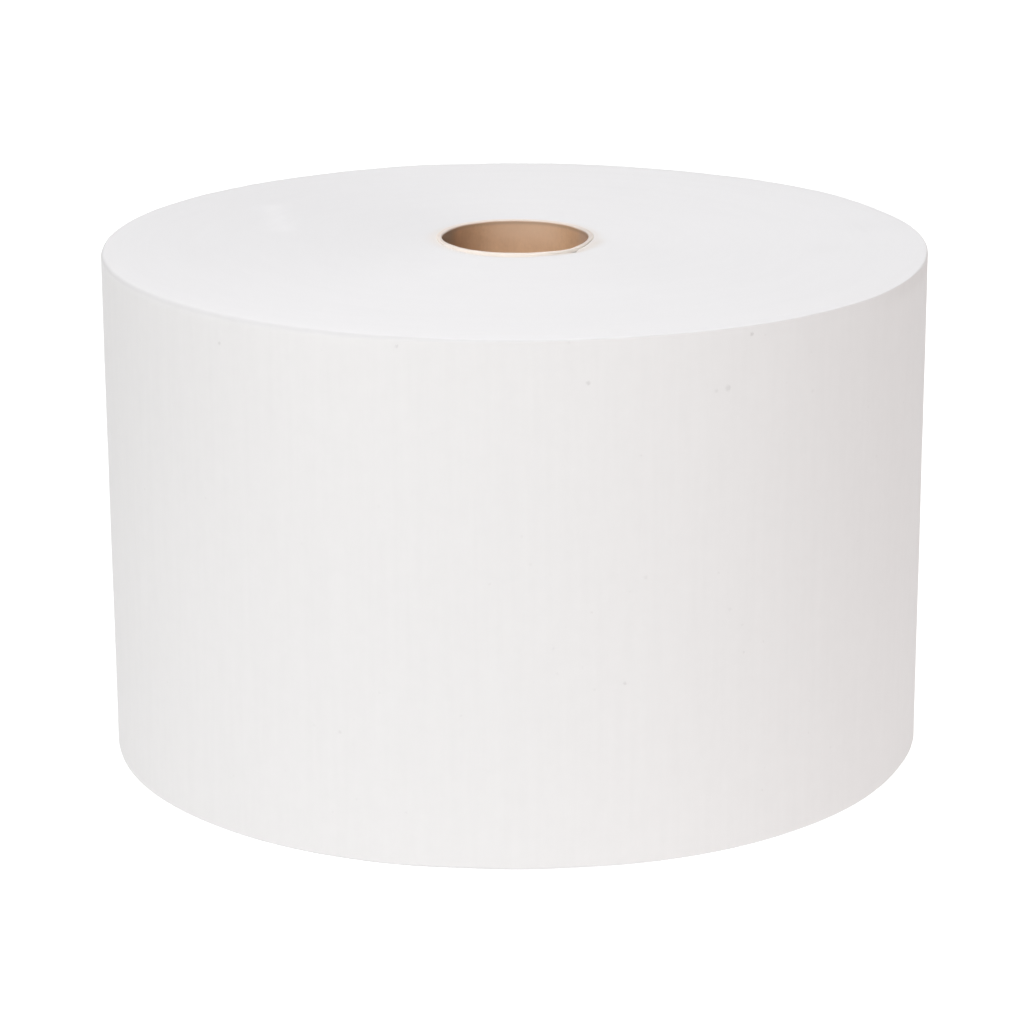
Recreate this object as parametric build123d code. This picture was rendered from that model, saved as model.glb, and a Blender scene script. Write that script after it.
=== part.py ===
from build123d import *
import math
import os

# An industrial wiper roll, standing on its end: one continuous web of two-ply
# wiping paper wound on a plain board tube, with the tube left open right through.
# Millimetres. +Z is up along the roll's axis. The origin is on that axis, in the
# plane that the lower end rests on. -Y is the front. The web's free edge is at
# the back.

# ---- driving dimensions -----------------------------------------------------
WEB_WIDTH = 245.0          # width of the paper web, which is the roll's height
ROLL_DIAMETER = 396.0      # over the outermost turn
WEB_CALIPER = 0.25         # one turn of the two-ply web, as wound
RIM_RADIUS = 3.0           # rounding that handling gives the outer edge of both ends

CORE_BORE_DIAMETER = 72.0  # inside the tube
CORE_WALL = 2.5            # thickness of the board
CORE_PROUD = 0.8           # how far the tube stands out of the web's upper end

DISH_RISE = 2.2            # the turns nearest the tube have crept up by this much
DISH_RADIUS = 150.0        # outside this radius the two ends are flat

TAIL_ANGLE = 112.0         # where the web's free edge lies, counted from +X

# ---- derived ------------------------------------------------------------------
OUTER_R = ROLL_DIAMETER / 2
BORE_R = CORE_BORE_DIAMETER / 2
CORE_R = BORE_R + CORE_WALL
STEP = WEB_CALIPER / 4     # the outer turn closes in by this much every quarter
OVERLAP = 10.0             # how far the inner body runs under the outer turns

DISH_RUN = DISH_RADIUS - CORE_R
DISH_ARC_R = (DISH_RUN ** 2 + DISH_RISE ** 2) / (2 * DISH_RISE)


def dish(r):
    """Height of either end above its flat outer part, at radius r."""
    if r >= DISH_RADIUS:
        return 0.0
    return DISH_ARC_R - math.sqrt(DISH_ARC_R ** 2 - (DISH_RADIUS - r) ** 2)


def half_section(points):
    """A closed face in the XZ plane from lines and three-point arcs."""
    edges = []
    for kind, *p in points:
        p = [Vector(x, 0, z) for x, z in p]
        edges.append(Edge.make_line(*p) if kind == "line" else Edge.make_three_point_arc(*p))
    return Face(Wire(edges))


# ---- the web, inner turns -------------------------------------------------------
# Both ends are the same shallow dish, because every turn has the same width and
# the inner turns have crept upwards together.
mid_r = (CORE_R + DISH_RADIUS) / 2
inner_r = DISH_RADIUS + OVERLAP
inner_section = half_section([
    ("arc", (CORE_R, dish(CORE_R)), (mid_r, dish(mid_r)), (DISH_RADIUS, 0)),
    ("line", (DISH_RADIUS, 0), (inner_r, 0)),
    ("line", (inner_r, 0), (inner_r, WEB_WIDTH)),
    ("line", (inner_r, WEB_WIDTH), (DISH_RADIUS, WEB_WIDTH)),
    ("arc", (DISH_RADIUS, WEB_WIDTH), (mid_r, WEB_WIDTH + dish(mid_r)), (CORE_R, WEB_WIDTH + dish(CORE_R))),
    ("line", (CORE_R, WEB_WIDTH + dish(CORE_R)), (CORE_R, dish(CORE_R))),
])
web = Solid.revolve(inner_section, 360, Axis.Z)

# ---- the web, outer turns -------------------------------------------------------
# The outermost turn is a spiral of four tangent quarter arcs. Each quarter's
# centre is shifted towards the end of the one before and its radius is smaller
# by the same amount, so the quarters join smoothly, and the fourth ends one
# caliper below the start of the first. That step is the web's free edge.
k = RIM_RADIUS * (1 - math.sqrt(0.5))


def quarter_section(outer_r):
    r0 = DISH_RADIUS + OVERLAP / 2
    r1 = outer_r - RIM_RADIUS
    top = WEB_WIDTH
    return half_section([
        ("line", (r0, 0), (r1, 0)),
        ("arc", (r1, 0), (outer_r - k, k), (outer_r, RIM_RADIUS)),
        ("line", (outer_r, RIM_RADIUS), (outer_r, top - RIM_RADIUS)),
        ("arc", (outer_r, top - RIM_RADIUS), (outer_r - k, top - k), (r1, top)),
        ("line", (r1, top), (r0, top)),
        ("line", (r0, top), (r0, 0)),
    ])


cx, cy = STEP * 0.5, -STEP * 0.5
radius = OUTER_R - STEP * 0.5
quarters = []
for n in range(4):
    quarter = Solid.revolve(quarter_section(radius), 90, Axis.Z)
    quarters.append(quarter.rotate(Axis.Z, 90 * n).translate((cx, cy, 0)))
    end = math.radians(90 * (n + 1))
    cx += STEP * math.cos(end)
    cy += STEP * math.sin(end)
    radius -= STEP

outer = quarters[0].fuse(*quarters[1:]).rotate(Axis.Z, TAIL_ANGLE)
web = web.fuse(outer).clean()

# ---- the tube -------------------------------------------------------------------
# Spiral-wound board, cut square at both ends and as long as the web is wide. It
# stands a little proud of the web at the top and sits the same amount inside it
# at the bottom.
core_low = DISH_RISE + CORE_PROUD
core_section = half_section([
    ("line", (BORE_R, core_low), (CORE_R, core_low)),
    ("line", (CORE_R, core_low), (CORE_R, core_low + WEB_WIDTH)),
    ("line", (CORE_R, core_low + WEB_WIDTH), (BORE_R, core_low + WEB_WIDTH)),
    ("line", (BORE_R, core_low + WEB_WIDTH), (BORE_R, core_low)),
])
core = Solid.revolve(core_section, 360, Axis.Z)

# ---- the pieces -----------------------------------------------------------------
nodes = {
    "wound_web": web,
    "core_tube": core,
}

os.makedirs("parts", exist_ok=True)
for name, shape in nodes.items():
    solids = shape.solids()
    box = shape.bounding_box()
    print(f"{name}: {len(solids)} solid, volume {shape.volume / 1000:.1f} cm3, valid {shape.is_valid}, "
          f"x {box.min.X:.3f}..{box.max.X:.3f}, y {box.min.Y:.3f}..{box.max.Y:.3f}, z {box.min.Z:.3f}..{box.max.Z:.3f}")
    export_step(solids[0], f"parts/{name}.step")

turns = (OUTER_R - CORE_R) / WEB_CALIPER
length = math.pi * (OUTER_R ** 2 - CORE_R ** 2) / WEB_CALIPER / 1000
print(f"about {turns:.0f} turns, {length:.0f} m of web")
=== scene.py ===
import math

import bmesh
import bpy
import numpy as np
from mathutils import Matrix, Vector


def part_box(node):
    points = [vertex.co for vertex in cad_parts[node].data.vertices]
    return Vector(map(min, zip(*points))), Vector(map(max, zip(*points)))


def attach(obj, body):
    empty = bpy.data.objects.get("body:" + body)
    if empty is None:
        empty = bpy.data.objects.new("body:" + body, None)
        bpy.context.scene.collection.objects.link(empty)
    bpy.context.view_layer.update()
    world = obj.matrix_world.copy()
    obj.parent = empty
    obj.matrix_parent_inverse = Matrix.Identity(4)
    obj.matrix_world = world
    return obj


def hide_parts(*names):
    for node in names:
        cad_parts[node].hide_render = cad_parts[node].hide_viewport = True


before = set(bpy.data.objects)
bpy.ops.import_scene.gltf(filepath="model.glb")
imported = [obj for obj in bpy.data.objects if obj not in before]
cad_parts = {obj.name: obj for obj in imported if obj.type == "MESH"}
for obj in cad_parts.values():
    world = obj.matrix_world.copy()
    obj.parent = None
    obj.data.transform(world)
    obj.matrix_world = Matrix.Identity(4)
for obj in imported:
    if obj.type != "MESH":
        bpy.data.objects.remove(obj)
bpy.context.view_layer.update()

MM = 0.001
TAU = 2 * math.pi

# ------------------------------------------------------------------ sizes, in mm
web_low, web_high = (np.array(c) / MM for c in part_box("wound_web"))
core_low, core_high = (np.array(c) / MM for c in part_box("core_tube"))

R = 198.0                  # outermost turn, at the web's free edge
CALIPER = 0.25             # one turn
TAIL = math.radians(112)   # where the web's free edge lies
H = 245.0                  # the web's width
CORE_R = float(core_high[0])
BORE_R = CORE_R - 2.5
TUBE_R = CORE_R - 0.3      # outside of the board as it looks, with the inner turns drawn in tight on it
DISH_R, DISH_RISE = 150.0, float(web_high[2]) - H

# ------------------------------------------------------------------ camera
cam_data = bpy.data.cameras.new("camera")
cam_data.sensor_width = 36.0
cam_data.lens = 126.802
cam = bpy.data.objects.new("camera", cam_data)
bpy.context.scene.collection.objects.link(cam)
pitch, yaw, roll = 0.28976, -0.00098, -0.00396
fwd = np.array([math.sin(yaw) * math.cos(pitch), math.cos(yaw) * math.cos(pitch), -math.sin(pitch)])
right = np.array([math.cos(yaw), -math.sin(yaw), 0.0])
up = np.cross(right, fwd)
cam_x = math.cos(roll) * right + math.sin(roll) * up
cam_y = -math.sin(roll) * right + math.cos(roll) * up
cam.matrix_world = Matrix((
    (cam_x[0], cam_y[0], -fwd[0], 0.0),
    (cam_x[1], cam_y[1], -fwd[1], -1.69896),
    (cam_x[2], cam_y[2], -fwd[2], 0.61570),
    (0, 0, 0, 1),
))
bpy.context.scene.camera = cam
bpy.context.scene.view_settings.view_transform = "Standard"


# ------------------------------------------------------------------ smooth random fields
def b_spline(t):
    return np.stack([(1 - t) ** 3, 3 * t ** 3 - 6 * t ** 2 + 4, -3 * t ** 3 + 3 * t ** 2 + 3 * t + 1, t ** 3]) / 6


def field(u, v, nu, nv, seed):
    """A smooth random field, about -1 to 1, that repeats over u in 0..1 and doesn't over v in 0..1."""
    u, v = np.broadcast_arrays(np.asarray(u, float), np.asarray(v, float))
    g = np.random.default_rng(seed).uniform(-1, 1, (nu, nv + 4)) * 1.9
    x, y = (u % 1.0) * nu, np.clip(v, 0, 1) * nv
    i, j = np.floor(x).astype(int), np.minimum(np.floor(y).astype(int), nv)
    wx, wy = b_spline(x - i), b_spline(y - j)
    out = np.zeros(u.shape)
    for a in range(4):
        for b in range(4):
            out += wx[a] * wy[b] * g[(i + a) % nu, np.minimum(j + b, nv + 3)]
    return out


def line_field(v, n, seed):
    return field(0.5, v, 1, n, seed)


def bump_at(theta, z, at, z0, wide, tall):
    """1 at angle at and height z0, falling off over wide and tall, in mm on the roll's side."""
    arc = ((theta - at + math.pi) % TAU - math.pi) * R
    return np.exp(-(arc / wide) ** 2 - ((z - z0) / tall) ** 2)


def angle_bell(theta, at_deg, width_deg):
    d = (theta - math.radians(at_deg) + math.pi) % TAU - math.pi
    return np.exp(-(d / math.radians(width_deg)) ** 2)


def dish(r):
    run = DISH_R - CORE_R
    arc = (run ** 2 + DISH_RISE ** 2) / (2 * DISH_RISE)
    inside = np.clip(DISH_R - r, 0, None)
    return arc - np.sqrt(arc ** 2 - inside ** 2)


def spiral(phi):
    """Radius of the outermost turn, phi round from the web's free edge."""
    return R - CALIPER * phi / TAU


# ------------------------------------------------------------------ the web's own shape
DIMPLE_AT, DIMPLE_Z = -68.6, 63.9          # one small dimple on the side, where the roll was knocked


def wall_shift(theta, z):
    """How far the side stands out of the true spiral: tension ridges along the roll, hoops, slack and small dents."""
    u, v = theta / TAU, z / H
    d = 0.040 * field(u, v, 150, 4, 11) + 0.055 * field(u, v, 66, 3, 12) + 0.10 * field(u, v, 23, 2, 13)
    d += 0.12 * field(u, v, 9, 2, 14)
    d += 0.035 * line_field(v, 22, 15) + 0.05 * line_field(v, 7, 16)
    for at, z0, wide, tall, depth in (
        (-38, 60, 16, 22, 0.35), (-122, 175, 30, 40, 0.25), (-70, 205, 20, 14, 0.22), (14, 150, 24, 34, 0.4),
        (DIMPLE_AT, DIMPLE_Z, 3.5, 3.5, 0.27), (58, 95, 28, 30, 0.35), (160, 120, 34, 50, 0.4), (205, 200, 22, 18, 0.3), (88, 190, 18, 26, 0.3), (236, 70, 26, 20, 0.25),
    ):
        d -= depth * bump_at(theta, z, math.radians(at), z0, wide, tall)
    # Low down at the left, the roll has spread a little under its own weight.
    spread = 0.90 * angle_bell(theta, -151, 17) + 0.50 * angle_bell(theta, -124, 15)
    return d - 0.25 + spread * np.exp(-(z / 55.0) ** 2)


def rim_top(theta):
    """Rounding of the upper edge: softest at the front left, crisp at the front right."""
    u = theta / TAU
    f = 1.5 + 1.7 * angle_bell(theta, -138, 34) - 0.95 * angle_bell(theta, -48, 52) + 0.9 * angle_bell(theta, 80, 50)
    return np.clip(f + 0.22 * field(u, 0.5, 60, 1, 21) + 0.25 * field(u, 0.5, 13, 1, 22), 0.5, 4.5)


def rim_bottom(theta):
    u = theta / TAU
    f = 1.1 + 0.9 * angle_bell(theta, 130, 60) + 0.8 * angle_bell(theta, -88, 21) - 0.5 * angle_bell(theta, -148, 30)
    f = f - 0.35 * angle_bell(theta, -66, 9) + 0.5 * angle_bell(theta, -20, 13)
    return np.clip(f + 0.2 * field(u, 0.5, 60, 1, 23) + 0.2 * field(u, 0.5, 13, 1, 24), 0.6, 4.0)


def low_lift(theta):
    """The lower rim isn't quite level: it clears the floor by a little at the front, the right and the back right."""
    lift = 0.36 * angle_bell(theta, -92, 18) + 0.34 * angle_bell(theta, -97.5, 5) + 0.22 * angle_bell(theta, -83, 5)
    return lift + 0.85 * angle_bell(theta, -19, 12) + 0.25 * angle_bell(theta, 60, 30)


def end_relief(r, theta, seed):
    """The turns don't lie quite level: bands of them stand up or drop back by tenths of a millimetre."""
    v = (r - 30) / 170
    u = theta / TAU
    z = 0.035 * line_field(v, 52, seed) + 0.05 * line_field(v, 23, seed + 1) + 0.09 * line_field(v, 9, seed + 2)
    z += 0.035 * field(u, v, 7, 26, seed + 3) + 0.06 * field(u, v, 4, 9, seed + 4)
    near = np.clip((r - (R - 14)) / 14, 0, 1)
    return z - 0.35 * near ** 2


def droop(r, theta):
    """The outer turns have slipped down a little at the front right of the upper end."""
    return -1.35 * angle_bell(theta, -40, 27) * np.clip((r - 118) / 80, 0, 1) ** 2


def tube_squeeze(theta, outside):
    """The tube's upper end isn't quite round: narrower from side to side, by up to a millimetre."""
    side, depth = np.cos(theta), np.sin(theta)
    d = 0.72 * depth ** 2 - np.where(side < 0, 0.65, 0.10 if outside else 0.65) * side ** 2
    d = d + 0.60 * angle_bell(theta, 122, 16)
    if not outside:
        d = d - 0.35 * angle_bell(theta, 157, 11) - 0.45 * angle_bell(theta, 28, 14)
    return d


def web_bore(theta):
    """Inner edge of the web at the upper end. It hugs the tube but for one small gap at the front right."""
    u = theta / TAU
    gap = 0.02 + 0.06 * np.clip(field(u, 0.5, 22, 1, 31), 0, 1)
    gap = gap + 0.80 * angle_bell(theta, -43.5, 2.8) + 0.05 * angle_bell(theta, -27, 8)
    return TUBE_R + tube_squeeze(theta, True) + gap


# ------------------------------------------------------------------ the web's mesh
N = 512
FLAP = 18                                  # columns that the free end covers
STEP = TAU / N
root = FLAP * STEP
phi = np.concatenate([np.arange(FLAP + 1) * STEP, [root + 0.0018], np.arange(FLAP + 1, N) * STEP])
dimple_phi = (math.radians(DIMPLE_AT) - TAIL) % TAU
phi = phi[np.abs(phi - dimple_phi) > 0.036]
phi = np.sort(np.concatenate([phi, dimple_phi + np.linspace(-0.033, 0.033, 19)]))
C = len(phi)
under = np.arange(C) <= FLAP               # columns of the turn below the free end
rho = spiral(phi) - np.where(under, CALIPER, 0.0)
theta = TAIL + phi
even = theta.copy()                        # columns used away from the rim, evenly spaced near the free end
even[:2 * FLAP] = np.linspace(theta[0], theta[2 * FLAP - 1], 2 * FLAP)

q = np.concatenate([
    np.array([0.0, 0.35, 0.8, 1.4, 2.2, 3.2, 4.6, 6.2]) / 156.0,
    np.linspace(8.0, 152.0, 68) / 156.0,
    np.array([153.6, 154.8, 156.0]) / 156.0,
])
ARC = 7
WALL = 38
LOW = 22
BORE_ROWS = 7

columns, heights, angles, ends = [], [], [], []


def row(r, z, a, end):
    columns.append(np.broadcast_to(r, (C,)).astype(float))
    heights.append(np.broadcast_to(z, (C,)).astype(float))
    angles.append(np.broadcast_to(a, (C,)).astype(float))
    ends.append(np.full(C, float(end)))


f_top, f_low = rim_top(theta), rim_bottom(theta)
rim_wave = 0.12 * field(theta / TAU, 0.5, 90, 1, 41) + 0.10 * field(theta / TAU, 0.5, 31, 1, 42)
rim_wave = rim_wave + 0.45 * angle_bell(theta, 107, 11) - 0.4 * angle_bell(theta, 63, 10) - 0.35 * angle_bell(theta, 20, 9)
top_edge_r = rho + wall_shift(theta, H - f_top) - f_top
top_edge_z = H + end_relief(top_edge_r, theta, 50) + rim_wave

for i, s in enumerate(q):                  # upper end, from the tube out
    mixed = np.clip((1 - s) * 156 / 34, 0, 1)
    mixed = mixed * mixed * (3 - 2 * mixed)
    a = theta * (1 - mixed) + even * mixed
    inner = web_bore(a)
    r = inner + (top_edge_r - inner) * s
    edge = np.clip((s * 156 - 146) / 10, 0, 1) ** 2
    z = H + dish(r) + end_relief(r, a, 50) + droop(r, a) + edge * rim_wave
    rubbed = 0.18 - 0.11 * angle_bell(a, -5, 45)
    z = z - rubbed * np.exp(-((r - inner) / 0.5))      # the innermost turn's edge is rubbed down
    pocket = 1.1 * angle_bell(a, -43.5, 3.2) * np.exp(-((r - inner - 0.1) / 0.8) ** 2)
    pocket = pocket + 0.08 * angle_bell(a, -14, 17) * np.exp(-((r - inner - 0.8) / 2.0) ** 2)
    pocket = pocket - 0.38 * angle_bell(a, 2, 36) * np.exp(-((r - inner) / 3.5) ** 2)
    pocket = pocket + 1.15 * angle_bell(a, -90, 50) * np.exp(-((r - inner) / 5.0) ** 2)
    pocket = pocket + 0.95 * angle_bell(a, -43, 20) * np.exp(-((r - inner) / 6.0) ** 2)
    row(r, z - pocket, a, 1)
top_edge_row = len(columns) - 1
top_edge_z = heights[-1]
for m in range(1, ARC + 1):                # upper rim
    psi = math.pi / 2 * m / ARC
    row(top_edge_r + f_top * math.sin(psi), top_edge_z - f_top * (1 - math.cos(psi)), theta, math.cos(psi) ** 1.5)
first_wall = len(columns) - 1
floor_gap = low_lift(theta)
z_hi, z_lo = heights[-1], f_low + floor_gap
down = np.arange(1, WALL + 1) / WALL
dimple_down = (H - 1.5 - DIMPLE_Z) / (H - 2.6)
down = down[np.abs(down - dimple_down) > 0.027]
down = np.sort(np.concatenate([down, dimple_down + np.linspace(-0.026, 0.026, 12)]))
for m in down:                             # side
    z = z_hi + (z_lo - z_hi) * m
    fade_top = np.clip(1 - m * WALL / 2.0, 0, 1)
    shift = wall_shift(theta, z)
    if fade_top > 0:
        shift = shift * (1 - fade_top) + wall_shift(theta, H - f_top) * fade_top
    row(rho + shift, z, theta, 0)
last_wall = len(columns) - 1
low_edge_r = columns[-1] - f_low
for m in range(1, ARC + 1):                # lower rim
    psi = math.pi / 2 * m / ARC
    row(low_edge_r + f_low * math.cos(psi), floor_gap + f_low * (1 - math.sin(psi)), theta, math.sin(psi) ** 1.5)
for m in range(1, LOW + 1):                # lower end, back to the tube
    s = 1 - m / LOW
    mixed = np.clip((1 - s) * 156 / 34, 0, 1)
    mixed = mixed * mixed * (3 - 2 * mixed)
    a = theta * (1 - mixed) + even * mixed
    r = TUBE_R + 0.12 + (low_edge_r - TUBE_R - 0.12) * s
    lift = np.clip((R - 12 - r) / 20, 0, 1)
    z = dish(r) + lift * (0.25 + 0.5 * np.abs(end_relief(r, a, 70))) + floor_gap * s ** 8
    row(r, z, a, 1)
for m in range(1, BORE_ROWS + 1):          # inner wall, against the tube
    s = m / (BORE_ROWS + 1)
    z = heights[LOW + last_wall + ARC] * (1 - s) + (H - 16) * s
    wide = np.clip((m - BORE_ROWS + 1.0) / 1.0, 0, 1)
    row(TUBE_R + 0.12 + 0.2 * wide * (web_bore(even) - TUBE_R - 0.12), z, even, 1)

rows = len(columns)
radius, height, angle, end_mask = (np.array(x) for x in (columns, heights, angles, ends))
verts = np.stack([radius * np.cos(angle), radius * np.sin(angle), height], -1).reshape(-1, 3)
mask = end_mask.reshape(-1)

i, k = np.meshgrid(np.arange(rows), np.arange(C), indexing="ij")
i2, k2 = (i + 1) % rows, (k + 1) % C
quads = np.stack([i * C + k, i2 * C + k, i2 * C + k2, i * C + k2], -1)
step_wall = (k == FLAP) & (i >= first_wall) & (i < last_wall)
quads = quads[~step_wall].reshape(-1, 4)

# The free end of the web: a thin sheet, welded to the step where it leaves the roll, lying against the turn
# below and lifting a little towards its cut edge and its corners.
M = 30
W = last_wall - first_wall + 1
z_flap = np.stack([(height[first_wall:last_wall + 1, FLAP] + height[first_wall:last_wall + 1, FLAP + 1]) / 2] * M)
s = (np.arange(1, M + 1) / M)[:, None]
cut = 0.20 * line_field(z_flap / H, 30, 61) + 0.8 * line_field(z_flap / H, 5, 62)
phi_flap = root * (1 - s) + (cut / R) * s
theta_flap = TAIL + phi_flap
up_end = np.exp(-((H - 3 - z_flap) / 15.0) ** 2)
low_end = np.exp(-((z_flap - 3) / 11.0) ** 2)
wave = 0.5 + 0.5 * np.clip(line_field(z_flap / H, 7, 63) * 1.3, -1, 1)
lift = 0.03 * np.clip(s * 8, 0, 1) + (0.9 + 1.3 * wave) * s ** 2.8 + 0.4 * up_end * s ** 3 + 0.5 * low_end * s ** 3
lift = lift + 0.05 * s * (1 + field(theta_flap / TAU, z_flap / H, 220, 9, 64))
outer_r = spiral(phi_flap) + wall_shift(theta_flap, z_flap) + lift
inner_r = outer_r - CALIPER
flap_outer = np.stack([outer_r * np.cos(theta_flap), outer_r * np.sin(theta_flap), z_flap], -1)
flap_inner = np.stack([inner_r * np.cos(theta_flap), inner_r * np.sin(theta_flap), z_flap], -1)
base = len(verts)
verts = np.concatenate([verts, flap_outer.reshape(-1, 3), flap_inner.reshape(-1, 3)])
mask = np.concatenate([mask, np.zeros(2 * M * W)])


def flap_id(side, j, w):
    """Vertex of the flap, with j = 0 on the step that it is welded to."""
    if j == 0:
        return (first_wall + w) * C + (FLAP + 1 if side == 0 else FLAP)
    return base + side * M * W + (j - 1) * W + w


extra = []
for j in range(M):
    for w in range(W - 1):
        extra.append([flap_id(0, j, w), flap_id(0, j + 1, w), flap_id(0, j + 1, w + 1), flap_id(0, j, w + 1)])
        extra.append([flap_id(1, j, w), flap_id(1, j, w + 1), flap_id(1, j + 1, w + 1), flap_id(1, j + 1, w)])
    for w in (0, W - 1):
        e = [flap_id(0, j, w), flap_id(1, j, w), flap_id(1, j + 1, w), flap_id(0, j + 1, w)]
        extra.append(e if w == 0 else e[::-1])
for w in range(W - 1):
    extra.append([flap_id(0, M, w), flap_id(1, M, w), flap_id(1, M, w + 1), flap_id(0, M, w + 1)])
quads = np.concatenate([quads, np.array(extra)])


def make_mesh(name, points_mm, faces, mask_values, sharp_deg):
    mesh = bpy.data.meshes.new(name)
    mesh.from_pydata((points_mm * MM).tolist(), [], faces.tolist())
    bm = bmesh.new()
    bm.from_mesh(mesh)
    bmesh.ops.recalc_face_normals(bm, faces=bm.faces)
    if bm.calc_volume(signed=True) < 0:
        bmesh.ops.reverse_faces(bm, faces=bm.faces)
    loose = [e for e in bm.edges if not e.is_manifold]
    print(f"{name}: {len(bm.verts)} vertices, {len(bm.faces)} quads, {len(loose)} open edges, "
          f"{bm.calc_volume() * 1e6:.0f} cm3")
    bm.to_mesh(mesh)
    bm.free()
    attribute = mesh.attributes.new("end", "FLOAT", "POINT")
    attribute.data.foreach_set("value", mask_values.astype(np.float32))
    mesh.shade_smooth()
    mesh.set_sharp_from_angle(angle=math.radians(sharp_deg))
    mesh.update()
    ob = bpy.data.objects.new(name, mesh)
    bpy.context.scene.collection.objects.link(ob)
    return ob


web = make_mesh("paper_web", verts, quads, mask, 50)

# ------------------------------------------------------------------ the tube's mesh
TUBE_COLUMNS = 288
LEAD = 131.0                               # the inner ply's strip winds up by this much a turn
a = np.arange(TUBE_COLUMNS) * TAU / TUBE_COLUMNS
z0, z1 = float(core_low[2]), float(core_high[2])


def tube_inside(a, z):
    """The inner ply's strips meet in a helical seam, where one edge stands a little proud of the next."""
    along = (a / TAU - z / LEAD) % 1.0
    ramp = 0.16 * (1 - along) ** 6 - 0.10 * np.exp(-((along - 0.004) / 0.0035) ** 2)
    u = a / TAU
    slack = 0.14 * field(u, z / 260, 5, 3, 81) + 0.05 * field(u, z / 260, 17, 9, 82)
    squeezed = (0.40 * np.cos(a) + tube_squeeze(a, False)) * np.clip((z - z1 + 60) / 60, 0, 1)
    return BORE_R - 0.22 + slack + squeezed - ramp


# The end is cut a little low at the front right, and handling has rounded its inner edge.
lip = 0.10 * field(a / TAU, 0.5, 40, 1, 83) + 0.10 * field(a / TAU, 0.5, 9, 1, 84)
lip = lip - 0.17 - 0.30 * angle_bell(a, -80, 38) - 0.90 * angle_bell(a, -43, 20)
tube = []
INSIDE = 116
for m in range(INSIDE + 1):
    s = m / INSIDE
    s = s + 0.18 * math.sin(TAU * s) / TAU
    z = z0 + 0.35 + (z1 - z0 - 1.45) * s
    tube.append((tube_inside(a, z), z + lip * np.clip((z - z1 + 20) / 20, 0, 1), 0.0))
edge = tube[-1][0]
outer = TUBE_R + tube_squeeze(a, True)
worn = 0.50 * angle_bell(a, -66, 44) + 0.32 * angle_bell(a, -20, 20)       # at the front its outer corner is soft too
wall = outer - worn - edge
for part, drop, pale in ((0.015, 0.78, 0.30), (0.05, 0.50, 0.70), (0.11, 0.28, 0.95), (0.20, 0.12, 1.0), (0.31, 0.03, 1.0),
                         (0.45, 0.0, 1.0), (0.6, 0.02, 1.0), (0.75, 0.03, 1.1), (0.88, 0.08, 1.3), (0.96, 0.16, 1.6)):
    ply = 0.05 * field(a / TAU, part, 60, 6, 85) * pale
    tube.append((edge + wall * part, z1 - drop + lip * 0.95 + ply - 0.06, pale))
tube.append((outer - worn, z1 - 0.34 + lip, 2.0))
tube.append((outer, z1 - 1.15 + lip, 2.0))
for z, out in ((200.0, 0.2), (150.0, 0.0), (100.0, 0.0), (50.0, 0.0)):
    tube.append((TUBE_R + (outer - TUBE_R) * out, np.full(TUBE_COLUMNS, z), 2.0))
tube.append((np.full(TUBE_COLUMNS, TUBE_R), np.full(TUBE_COLUMNS, z0 + 0.35), 1.0))
first = tube[0][0]
for part in (0.95, 0.7, 0.4, 0.05):
    tube.append((first + (TUBE_R - first) * part, np.full(TUBE_COLUMNS, z0 + (0.15 if part in (0.95, 0.05) else 0.02)), 1.0))

tr = np.array([np.broadcast_to(t[0], a.shape) for t in tube])
tz = np.array([np.broadcast_to(t[1], a.shape) for t in tube])
te = np.array([np.full(a.shape, t[2]) for t in tube])
tube_verts = np.stack([tr * np.cos(a), tr * np.sin(a), tz], -1).reshape(-1, 3)
i, k = np.meshgrid(np.arange(len(tube)), np.arange(TUBE_COLUMNS), indexing="ij")
i2, k2 = (i + 1) % len(tube), (k + 1) % TUBE_COLUMNS
tube_quads = np.stack([i * TUBE_COLUMNS + k, i * TUBE_COLUMNS + k2, i2 * TUBE_COLUMNS + k2, i2 * TUBE_COLUMNS + k], -1).reshape(-1, 4)
core = make_mesh("board_tube", tube_verts, tube_quads, te.reshape(-1), 60)


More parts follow.
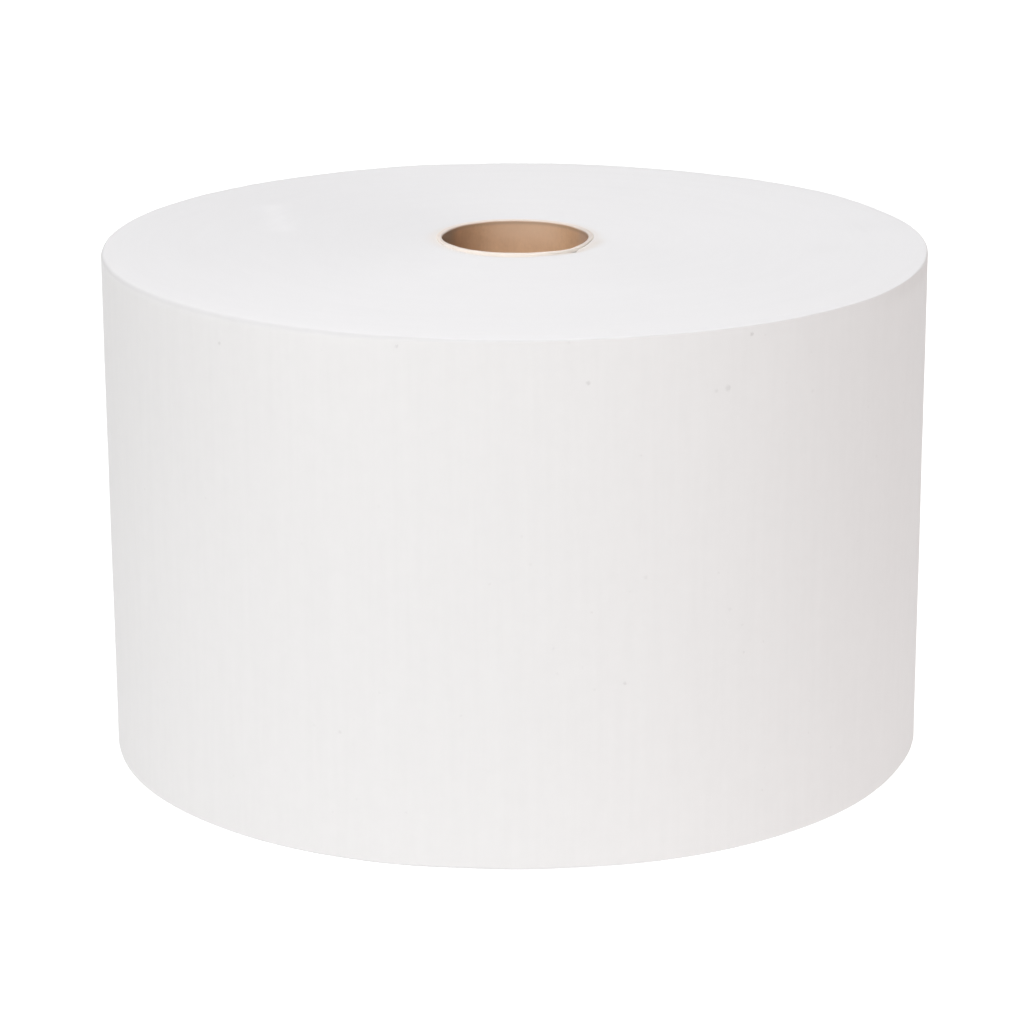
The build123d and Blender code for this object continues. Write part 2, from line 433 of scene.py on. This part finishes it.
# ------------------------------------------------------------------ materials
class Nodes:
    """Short calls for building a node tree."""

    def __init__(self, name):
        self.mat = bpy.data.materials.new(name)
        self.mat.use_nodes = True
        self.tree = self.mat.node_tree
        self.tree.nodes.clear()
        self.out = self.tree.nodes.new("ShaderNodeOutputMaterial")
        self.bsdf = self.tree.nodes.new("ShaderNodeBsdfPrincipled")
        self.tree.links.new(self.bsdf.outputs["BSDF"], self.out.inputs["Surface"])

    def put(self, socket, value):
        if hasattr(value, "is_output"):
            self.tree.links.new(value, socket)
        elif value is not None:
            socket.default_value = value

    def math(self, op, a, b=None, c=None, clamp=False):
        n = self.tree.nodes.new("ShaderNodeMath")
        n.operation, n.use_clamp = op, clamp
        for s, v in zip(n.inputs, (a, b, c)):
            self.put(s, v)
        return n.outputs[0]

    def vec(self, op, a, b=None, out=0):
        n = self.tree.nodes.new("ShaderNodeVectorMath")
        n.operation = op
        self.put(n.inputs[0], a)
        self.put(n.inputs[1], b)
        return n.outputs[out]

    def xyz(self, x, y, z):
        n = self.tree.nodes.new("ShaderNodeCombineXYZ")
        for s, v in zip(n.inputs, (x, y, z)):
            self.put(s, v)
        return n.outputs[0]

    def split(self, v):
        n = self.tree.nodes.new("ShaderNodeSeparateXYZ")
        self.put(n.inputs[0], v)
        return n.outputs

    def noise(self, vector, scale=1.0, detail=2.0, rough=0.5, distortion=0.0):
        n = self.tree.nodes.new("ShaderNodeTexNoise")
        self.put(n.inputs["Vector"], vector)
        n.inputs["Scale"].default_value = scale
        n.inputs["Detail"].default_value = detail
        n.inputs["Roughness"].default_value = rough
        n.inputs["Distortion"].default_value = distortion
        return n.outputs["Fac"]

    def colour_noise(self, vector, scale):
        n = self.tree.nodes.new("ShaderNodeTexNoise")
        self.put(n.inputs["Vector"], vector)
        n.inputs["Scale"].default_value = scale
        n.inputs["Detail"].default_value = 1.0
        return n.outputs["Color"]

    def cells(self, vector, scale):
        """Distance to the nearest of some scattered points, and that point's own random colour."""
        n = self.tree.nodes.new("ShaderNodeTexVoronoi")
        self.put(n.inputs["Vector"], vector)
        n.inputs["Scale"].default_value = scale
        return n.outputs["Distance"], n.outputs["Color"]

    def fit(self, value, a0, a1, b0, b1, smooth=False):
        n = self.tree.nodes.new("ShaderNodeMapRange")
        n.interpolation_type = "SMOOTHSTEP" if smooth else "LINEAR"
        for s, v in zip(n.inputs, (value, a0, a1, b0, b1)):
            self.put(s, v)
        return n.outputs[0]

    def mix(self, fac, a, b):
        n = self.tree.nodes.new("ShaderNodeMix")
        n.data_type = "RGBA"
        self.put(n.inputs[0], fac)
        self.put(n.inputs[6], a)
        self.put(n.inputs[7], b)
        return n.outputs[2]

    def lerp(self, fac, a, b):
        n = self.tree.nodes.new("ShaderNodeMix")
        n.data_type = "FLOAT"
        self.put(n.inputs[0], fac)
        self.put(n.inputs[2], a)
        self.put(n.inputs[3], b)
        return n.outputs[0]

    def bump(self, height, distance, strength=1.0, normal=None):
        n = self.tree.nodes.new("ShaderNodeBump")
        n.inputs["Strength"].default_value = strength
        n.inputs["Distance"].default_value = distance
        self.put(n.inputs["Height"], height)
        self.put(n.inputs["Normal"], normal)
        return n.outputs[0]

    def place(self):
        return self.tree.nodes.new("ShaderNodeTexCoord").outputs["Object"]

    def attribute(self, name):
        n = self.tree.nodes.new("ShaderNodeAttribute")
        n.attribute_name = name
        return n.outputs["Fac"]


def rgb(r, g, b):
    return (r, g, b, 1.0)


# White wiping paper. On the side, the crepe runs along the roll, across the way the web was wound. On the ends,
# the cut edges of the turns make fine rings.
p = Nodes("wiping_paper")
pos = p.place()
x, y, z = p.split(pos)
flat = p.xyz(x, y, 0.0)
rad = p.vec("LENGTH", flat, out=1)
unit = p.vec("NORMALIZE", flat)
ux, uy, _ = p.split(unit)
end = p.attribute("end")

crepe = p.noise(p.xyz(p.math("MULTIPLY", x, 1050.0), p.math("MULTIPLY", y, 1050.0), p.math("MULTIPLY", z, 120.0)), detail=3.0, rough=0.62)
ridge = p.noise(p.xyz(p.math("MULTIPLY", x, 300.0), p.math("MULTIPLY", y, 300.0), p.math("MULTIPLY", z, 16.0)), detail=2.0, rough=0.5)
fibre = p.noise(pos, scale=2300.0, detail=3.0, rough=0.65)
cloud = p.noise(pos, scale=130.0, detail=4.0, rough=0.62)

ring_fine = p.noise(p.xyz(p.math("MULTIPLY", rad, 2400.0), p.math("MULTIPLY", ux, 9.0), p.math("MULTIPLY", uy, 9.0)), detail=2.0, rough=0.6)
ring_mid = p.noise(p.xyz(p.math("MULTIPLY", rad, 620.0), p.math("MULTIPLY", ux, 5.0), p.math("MULTIPLY", uy, 5.0)), detail=2.0, rough=0.55)
ring_wide = p.noise(p.xyz(p.math("MULTIPLY", rad, 90.0), p.math("MULTIPLY", ux, 2.0), p.math("MULTIPLY", uy, 2.0)), detail=2.0, rough=0.5)
fuzz = p.noise(pos, scale=1500.0, detail=3.0, rough=0.7)


def side_point(deg, h):
    t = math.radians(deg)
    return (R * MM * math.cos(t), R * MM * math.sin(t), h * MM)


side_height = p.math("ADD", p.math("MULTIPLY", crepe, 0.60), p.math("ADD", p.math("MULTIPLY", ridge, 0.55), p.math("MULTIPLY", fibre, 0.22)))
end_height = p.math("ADD", p.math("MULTIPLY", ring_fine, 0.40), p.math("ADD", p.math("MULTIPLY", ring_mid, 0.30), p.math("MULTIPLY", fuzz, 0.42)))
height_all = p.lerp(end, side_height, end_height)

# Dark fibre specks: the plainest ones at their own places, as degrees round the roll, height, size and strength, and
# fainter ones strewn all over. Both are made a little ragged.
SPECKS = (
    (-131.4, 231.7, 1.8, 0.15), (-104.9, 240.7, 1.8, 0.13), (-80.8, 225.1, 2.1, 0.16), (-58.4, 240, 2, 0.2),
    (-61.9, 217.3, 2.8, 0.12), (-63.6, 216.7, 2.1, 0.08), (-75.9, 86.9, 1.7, 0.14), (-113.5, 60.8, 1.7, 0.08),
    (-117.3, 62.1, 1.5, 0.04), (-89.2, 157, 1.5, 0.05), (-85.2, 105.2, 1.5, 0.05), (-61.2, 115.2, 2, 0.05),
    (-33.1, 167.4, 1.8, 0.05), (-75.3, 129.6, 1.5, 0.04), (-48, 208.6, 1.8, 0.05), (-35.7, 192.7, 1.7, 0.05),
    (-88.1, 144.2, 1.7, 0.05), (-93.3, 135, 1.5, 0.05), (-84.7, 93.5, 1.5, 0.05), (-73.2, 135.4, 2, 0.06),
    (-79.9, 85.2, 1.5, 0.05), (-83.3, 243.4, 1.8, 0.06),
)
ragged = p.colour_noise(pos, 1400.0)
ragged = p.vec("ADD", pos, p.vec("MULTIPLY", p.vec("SUBTRACT", ragged, (0.5, 0.5, 0.5)), (0.0011, 0.0011, 0.0011)))
dots = None
for deg, h, size, strength in SPECKS:
    near = p.vec("DISTANCE", ragged, side_point(deg, h), out=1)
    dot = p.fit(near, size * 0.22 * MM, size * 0.68 * MM, strength, 0.0, smooth=True)
    dots = dot if dots is None else p.math("MAXIMUM", dots, dot)
cell_distance, cell_colour = p.cells(ragged, 88.0)
strewn = p.math("MULTIPLY", p.fit(cell_distance, 0.020, 0.075, 1.0, 0.0, smooth=True), p.fit(p.split(cell_colour)[0], 0.25, 1.0, 0.0, 0.085))
dots = p.math("MAXIMUM", dots, p.math("MULTIPLY", strewn, p.fit(end, 0.0, 1.0, 1.0, 0.35)))

# A lighter streak across the left of the upper end, and two faint grey patches near its right edge.
streak_from, streak_to = np.array([-0.1215, 0.0840]), np.array([-0.1138, 0.0290])
streak_run = streak_to - streak_from
drift = p.math("MULTIPLY", p.math("SUBTRACT", cloud, 0.5), 0.012)
sx, sy = p.math("SUBTRACT", p.math("ADD", x, drift), float(streak_from[0])), p.math("SUBTRACT", y, float(streak_from[1]))
part = p.math("ADD", p.math("MULTIPLY", sx, float(streak_run[0] / streak_run.dot(streak_run))),
              p.math("MULTIPLY", sy, float(streak_run[1] / streak_run.dot(streak_run))), clamp=True)
off = p.vec("LENGTH", p.xyz(p.math("SUBTRACT", sx, p.math("MULTIPLY", part, float(streak_run[0]))),
                            p.math("SUBTRACT", sy, p.math("MULTIPLY", part, float(streak_run[1]))), 0.0), out=1)
on_top = p.fit(z, 0.2, 0.24, 0.0, 1.0)


def soft_spot(distance, wide):
    d = p.math("MULTIPLY", distance, 1 / wide)
    return p.math("EXPONENT", p.math("MULTIPLY", p.math("MULTIPLY", d, d), -1.0))


marks_and_painted_light = p.math("MULTIPLY", soft_spot(off, 0.0062), 0.033)
for px, py, wide, tone in ((0.170, 0.032, 0.014, -0.014), (0.150, -0.018, 0.012, -0.012)):
    marks_and_painted_light = p.math("ADD", marks_and_painted_light, p.math("MULTIPLY", soft_spot(p.vec("DISTANCE", flat, (px, py, 0.0), out=1), wide), tone))
# The innermost turns are a shade greyer along the front right of the tube.
by_tube = p.math("MULTIPLY", soft_spot(p.math("SUBTRACT", rad, CORE_R * MM), 0.0026), p.fit(p.math("ADD", p.math("MULTIPLY", ux, 0.85), p.math("MULTIPLY", uy, -0.53)), -0.1, 0.9, 0.0, 0.034, smooth=True))
marks_and_painted_light = p.math("SUBTRACT", marks_and_painted_light, by_tube)


def sector(tree, x, y, deg, reach):
    """1 in one direction from the axis, falling to 0 at reach degrees from it."""
    t = math.radians(deg)
    near = tree.math("ADD", tree.math("MULTIPLY", x, math.cos(t)), tree.math("MULTIPLY", y, math.sin(t)))
    return tree.fit(near, math.cos(math.radians(reach)), 1.0, 0.0, 1.0, smooth=True)


# Painted light and shade: the upper end is painted a shade lighter towards the back right and darker towards the left.
for deg, reach, shade in ((55, 95, 0.027), (168, 85, -0.034), (-115, 70, 0.006)):
    marks_and_painted_light = p.math("ADD", marks_and_painted_light, p.math("MULTIPLY", sector(p, ux, uy, deg, reach), shade))
marks_and_painted_light = p.math("MULTIPLY", marks_and_painted_light, on_top)

# Just below the upper rim, the side is a little darker, most at the right.
dark_band_under_rim = soft_spot(p.math("SUBTRACT", z, (H - 4.8) * MM), 0.0042)
to_right = p.fit(ux, 0.76, 0.92, 0.0, 1.0, smooth=True)
dark_band_under_rim = p.math("MULTIPLY", p.math("MULTIPLY", dark_band_under_rim, to_right), p.fit(p.noise(pos, scale=60.0, detail=2.0), 0.3, 0.7, 0.4, 1.2))
dark_band_under_rim = p.math("MULTIPLY", dark_band_under_rim, p.math("SUBTRACT", 1.0, end))

side_tone = p.math("ADD", p.fit(ridge, 0.3, 0.7, -0.006, 0.006), p.fit(cloud, 0.3, 0.7, -0.007, 0.007))
# Painted shade: high up at the left, the side is painted a shade greyer.
side_tone = p.math("SUBTRACT", side_tone, p.math("MULTIPLY", sector(p, ux, uy, -149, 34), p.fit(z, 0.10, 0.235, 0.0, 0.030, smooth=True)))
end_tone = p.math("ADD", p.fit(ring_mid, 0.3, 0.7, -0.004, 0.004), p.math("ADD", p.fit(ring_wide, 0.3, 0.7, -0.004, 0.004), p.fit(fuzz, 0.3, 0.7, -0.007, 0.007)))
end_tone = p.math("ADD", end_tone, marks_and_painted_light)
tone = p.math("ADD", p.lerp(end, side_tone, end_tone), 1.0)
# Painted shade: the rounded rims are painted a little greyer, most at the front left, to damp the light that they
# catch.
rim = p.math("MULTIPLY", p.math("MULTIPLY", p.math("POWER", end, 1.5), p.math("SUBTRACT", 1.0, end)), 5.38)
to_left = p.fit(p.math("ADD", p.math("MULTIPLY", ux, 0.75), p.math("MULTIPLY", uy, 0.66)), -1.0, 0.35, 0.140, 0.045, smooth=True)
tone = p.math("SUBTRACT", tone, p.math("MULTIPLY", rim, to_left))
white = p.mix(end, rgb(0.862, 0.850, 0.846), rgb(0.862, 0.850, 0.856))
white = p.vec("MULTIPLY", white, p.xyz(tone, tone, tone))
# The innermost turns have taken a trace of brown from the tube.
stain = p.math("MULTIPLY", soft_spot(p.math("SUBTRACT", rad, CORE_R * MM), 0.0034), 0.15)
white = p.mix(stain, white, rgb(0.80, 0.61, 0.45))
stain = p.math("MULTIPLY", soft_spot(p.math("SUBTRACT", rad, 0.0415), 0.0031), sector(p, ux, uy, -37, 36))
stain = p.math("MULTIPLY", p.math("MULTIPLY", stain, on_top), p.fit(cloud, 0.3, 0.7, 0.18, 0.30))
white = p.mix(stain, white, rgb(0.58, 0.46, 0.32))
white = p.mix(p.math("MULTIPLY", dark_band_under_rim, 0.11), white, rgb(0.52, 0.45, 0.42))
colour = p.mix(dots, white, rgb(0.16, 0.14, 0.13))
p.put(p.bsdf.inputs["Base Color"], colour)
p.put(p.bsdf.inputs["Roughness"], p.fit(cloud, 0.3, 0.7, 0.86, 0.96))
p.bsdf.inputs["Specular IOR Level"].default_value = 0.25
p.bsdf.inputs["Sheen Weight"].default_value = 0.08
p.bsdf.inputs["Sheen Roughness"].default_value = 0.5
p.put(p.bsdf.inputs["Normal"], p.bump(height_all, 0.00006))
web.data.materials.append(p.mat)

# Brown board, spiral wound: fibres along the strips, a dark seam where the strips meet, and a pale cut end with
# its plies showing as rings.
c = Nodes("core_board")
pos = c.place()
x, y, z = c.split(pos)
rad = c.vec("LENGTH", c.xyz(x, y, 0.0), out=1)
turn = c.math("DIVIDE", c.math("ARCTAN2", y, x), TAU)
along = c.math("FRACT", c.math("ADD", c.math("SUBTRACT", turn, c.math("DIVIDE", z, LEAD * MM)), 4.0))
seam = c.math("MINIMUM", along, c.math("SUBTRACT", 1.0, along))
seam_line = c.fit(seam, 0.0012, 0.0045, 1.0, 0.0, smooth=True)
end = c.attribute("end")
unit = c.vec("NORMALIZE", c.xyz(x, y, 0.0))
ux, uy, _ = c.split(unit)
# Coordinates along and across the strip, for the fibres.
fibres = c.noise(c.xyz(c.math("MULTIPLY", x, 700.0), c.math("MULTIPLY", y, 700.0), c.math("MULTIPLY", z, 420.0)), detail=5.0, rough=0.7)
blotch = c.noise(pos, scale=85.0, detail=3.0, rough=0.6)
plies = c.noise(c.xyz(c.math("MULTIPLY", rad, 3600.0), c.math("MULTIPLY", ux, 5.0), c.math("MULTIPLY", uy, 5.0)), detail=1.0, rough=0.5)
brown = c.mix(c.fit(blotch, 0.3, 0.7, 0.0, 1.0), rgb(0.81, 0.530, 0.322), rgb(0.89, 0.612, 0.390))
brown = c.mix(c.fit(fibres, 0.35, 0.75, 0.0, 0.30), brown, rgb(0.52, 0.33, 0.20))
brown = c.mix(c.math("MULTIPLY", seam_line, 0.60), brown, rgb(0.22, 0.13, 0.08))
# Painted shade: the wall is painted a little darker just under its edge.
under = c.math("MULTIPLY", c.math("SUBTRACT", z, (z1 - 1.6) * MM), 1 / (0.95 * MM))
under = c.math("EXPONENT", c.math("MULTIPLY", c.math("MULTIPLY", under, under), -1.0))
# Painted light and shade: the wall is painted paler and pinker high up at the back, and greyer at the sides, lower
# down.
pale = c.math("MULTIPLY", sector(c, ux, uy, 82, 39), c.fit(z, (z1 - 15) * MM, (z1 - 6) * MM, 0.30, 1.0, smooth=True))
brown = c.mix(c.math("MULTIPLY", pale, 0.68), brown, rgb(0.99, 0.73, 0.530))
bore_painted_shade = c.math("MULTIPLY", sector(c, ux, uy, 155, 52), c.fit(z, (z1 - 22) * MM, (z1 - 3) * MM, 0.55, 0.20))
bore_painted_shade = c.math("ADD", bore_painted_shade, c.math("MULTIPLY", sector(c, ux, uy, 18, 30), 0.16))
bore_painted_shade = c.math("ADD", bore_painted_shade, c.math("MULTIPLY", sector(c, ux, uy, 184, 26), 0.14))
brown = c.mix(bore_painted_shade, brown, rgb(0.47, 0.33, 0.25))
# Painted shade: near its end the board is painted darker and greyer at the two sides.
high_up = c.fit(z, (z1 - 26) * MM, (z1 - 11) * MM, 0.0, 1.0, smooth=True)
brown = c.mix(c.math("MULTIPLY", c.math("MULTIPLY", sector(c, ux, uy, 168, 30), 0.60), high_up), brown, rgb(0.37, 0.39, 0.353))
brown = c.mix(c.math("MULTIPLY", c.math("MULTIPLY", sector(c, ux, uy, 6, 27), 0.38), high_up), brown, rgb(0.56, 0.48, 0.48))
# Painted shade just under the wall's edge.
brown = c.mix(c.math("MULTIPLY", under, 0.50), brown, rgb(0.44, 0.31, 0.23))
cream = c.mix(c.fit(plies, 0.40, 0.60, 0.0, 1.0), rgb(0.84, 0.74, 0.67), rgb(0.90, 0.81, 0.75))
# Its outermost ply is the palest. The cut end is darker at the right and a little at the left.
outermost = c.fit(end, 1.0, 2.0, 0.0, 1.0)
cream = c.mix(c.math("MULTIPLY", outermost, 0.85), cream, rgb(0.96, 0.89, 0.82))
cut_end_darkening = c.math("ADD", c.fit(ux, 0.72, 0.97, 0.0, 0.30, smooth=True), c.fit(ux, -0.35, -0.95, 0.0, 0.13, smooth=True))
cut_end_darkening = c.math("MULTIPLY", cut_end_darkening, c.fit(outermost, 0.0, 1.0, 1.0, 0.15))
cream = c.mix(cut_end_darkening, cream, rgb(0.42, 0.38, 0.35))
# Painted shade: down in the gap beside the innermost turn, its outside is painted dark grey.
gap_painted_shade = c.math("MULTIPLY", outermost, c.fit(z, (z1 - 2.95) * MM, (z1 - 2.4) * MM, 0.95, 0.0, smooth=True))
cream = c.mix(gap_painted_shade, cream, rgb(0.36, 0.34, 0.33))
c.put(c.bsdf.inputs["Base Color"], c.mix(end, brown, cream))
c.put(c.bsdf.inputs["Roughness"], c.fit(fibres, 0.3, 0.7, 0.72, 0.9))
c.bsdf.inputs["Specular IOR Level"].default_value = 0.3
board_height = c.lerp(end, c.math("SUBTRACT", c.math("ADD", fibres, c.math("MULTIPLY", blotch, 0.6)), c.math("MULTIPLY", seam_line, 1.5)),
                      c.math("ADD", c.math("MULTIPLY", plies, 1.2), fibres))
c.put(c.bsdf.inputs["Normal"], c.bump(board_height, 0.00010))
core.data.materials.append(c.mat)

for ob, node, slot in ((web, "wound_web", "wiper_paper"), (core, "core_tube", "core_board")):
    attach(ob, "root")
    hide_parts(node)

# ------------------------------------------------------------------ floor, backdrop and light
floor_mesh = bpy.data.meshes.new("floor")
floor_mesh.from_pydata([(-30, -30, -0.0003), (30, -30, -0.0003), (30, 30, -0.0003), (-30, 30, -0.0003)], [], [(0, 1, 2, 3)])
floor = bpy.data.objects.new("floor", floor_mesh)
bpy.context.scene.collection.objects.link(floor)
fl = Nodes("white_floor")
fl.bsdf.inputs["Base Color"].default_value = rgb(0.25, 0.25, 0.25)
fl.bsdf.inputs["Roughness"].default_value = 1.0
fl.bsdf.inputs["Specular IOR Level"].default_value = 0.0
fl.bsdf.inputs["Emission Color"].default_value = rgb(1, 1, 1)
# The floor is seen as plain white. It lights the roll like a light table, most near the roll's foot.
f_path = fl.tree.nodes.new("ShaderNodeLightPath").outputs["Is Camera Ray"]
f_away = fl.vec("LENGTH", fl.place(), out=1)


def f_glow(wide):
    d = fl.math("MULTIPLY", f_away, 1 / wide)
    return fl.math("EXPONENT", fl.math("MULTIPLY", fl.math("MULTIPLY", d, d), -1.0))


FLOOR_FAR, FLOOR_MID = 0.690, 0.248
f_light = fl.math("ADD", FLOOR_FAR, fl.math("MULTIPLY", f_glow(0.65), FLOOR_MID))
f_strength = fl.lerp(f_path, f_light, 1.05)
fl.put(fl.bsdf.inputs["Emission Strength"], f_strength)
floor_mesh.materials.append(fl.mat)

world = bpy.data.worlds.new("studio")
bpy.context.scene.world = world
world.use_nodes = True
wt = world.node_tree
wt.nodes.clear()
w_out = wt.nodes.new("ShaderNodeOutputWorld")
w_light = wt.nodes.new("ShaderNodeBackground")
w_seen = wt.nodes.new("ShaderNodeBackground")
w_mix = wt.nodes.new("ShaderNodeMixShader")
w_path = wt.nodes.new("ShaderNodeLightPath")
w_light.inputs["Color"].default_value = rgb(1.0, 1.0, 1.0)
w_light.inputs["Strength"].default_value = 0.10
w_seen.inputs["Color"].default_value = rgb(1, 1, 1)
w_seen.inputs["Strength"].default_value = 1.05
wt.links.new(w_path.outputs["Is Camera Ray"], w_mix.inputs[0])
wt.links.new(w_light.outputs[0], w_mix.inputs[1])
wt.links.new(w_seen.outputs[0], w_mix.inputs[2])
wt.links.new(w_mix.outputs[0], w_out.inputs["Surface"])


def soft_light(name, azimuth, elevation, distance, size, power, colour, tall=None):
    """A softbox that faces the middle of the roll. Azimuth 0 is in front, and positive is to the right."""
    data = bpy.data.lights.new(name, "AREA")
    data.shape = "RECTANGLE"
    data.size, data.size_y = size, tall or size
    data.energy = power
    data.color = colour
    ob = bpy.data.objects.new(name, data)
    bpy.context.scene.collection.objects.link(ob)
    az, el = math.radians(azimuth), math.radians(elevation)
    back = np.array([math.sin(az) * math.cos(el), -math.cos(az) * math.cos(el), math.sin(el)])
    side = np.cross((0, 0, 1), back)
    side = side / np.linalg.norm(side)
    top = np.cross(back, side)
    at = back * distance + np.array([0, 0, 0.12])
    ob.matrix_world = Matrix((
        (side[0], top[0], back[0], at[0]),
        (side[1], top[1], back[1], at[1]),
        (side[2], top[2], back[2], at[2]),
        (0, 0, 0, 1),
    ))
    ob.visible_camera = False
    return ob


soft_light("key", -40, 40, 2.8, 1.5, 18.2, (1.0, 1.0, 1.0))
soft_light("key_high", -30, 50, 2.8, 0.9, 13.5, (1.0, 1.0, 1.0))
soft_light("key_low", -20, 35, 2.8, 0.9, 6.5, (1.0, 1.0, 1.0))
soft_light("left_side", -105, 10, 2.8, 1.5, 1.8, (1.0, 1.0, 1.0))
soft_light("front_right", 15, 10, 2.8, 1.5, 2.3, (1.0, 0.91, 0.89))
soft_light("right_high", 45, 40, 2.8, 1.5, 2.3, (1.0, 1.0, 1.0))
soft_light("right_strip", 45, 2, 2.8, 1.5, 5.85, (1.0, 1.0, 0.975), tall=0.3)
soft_light("right_side_strip", 80, 2, 2.8, 1.5, 8.6, (1.0, 0.79, 0.765), tall=0.3)
soft_light("back", 180, 20, 2.8, 1.5, 14.8, (1.0, 1.0, 1.0))
# A small one close behind at the left, low down, so that the web's free edge throws a thin shadow.
soft_light("back_near", 225, 2, 0.5, 0.2, 0.13, (1.0, 1.0, 1.0), tall=0.25)
soft_light("overhead", 0, 88, 2.8, 1.5, 38.7, (0.992, 1.0, 1.01))
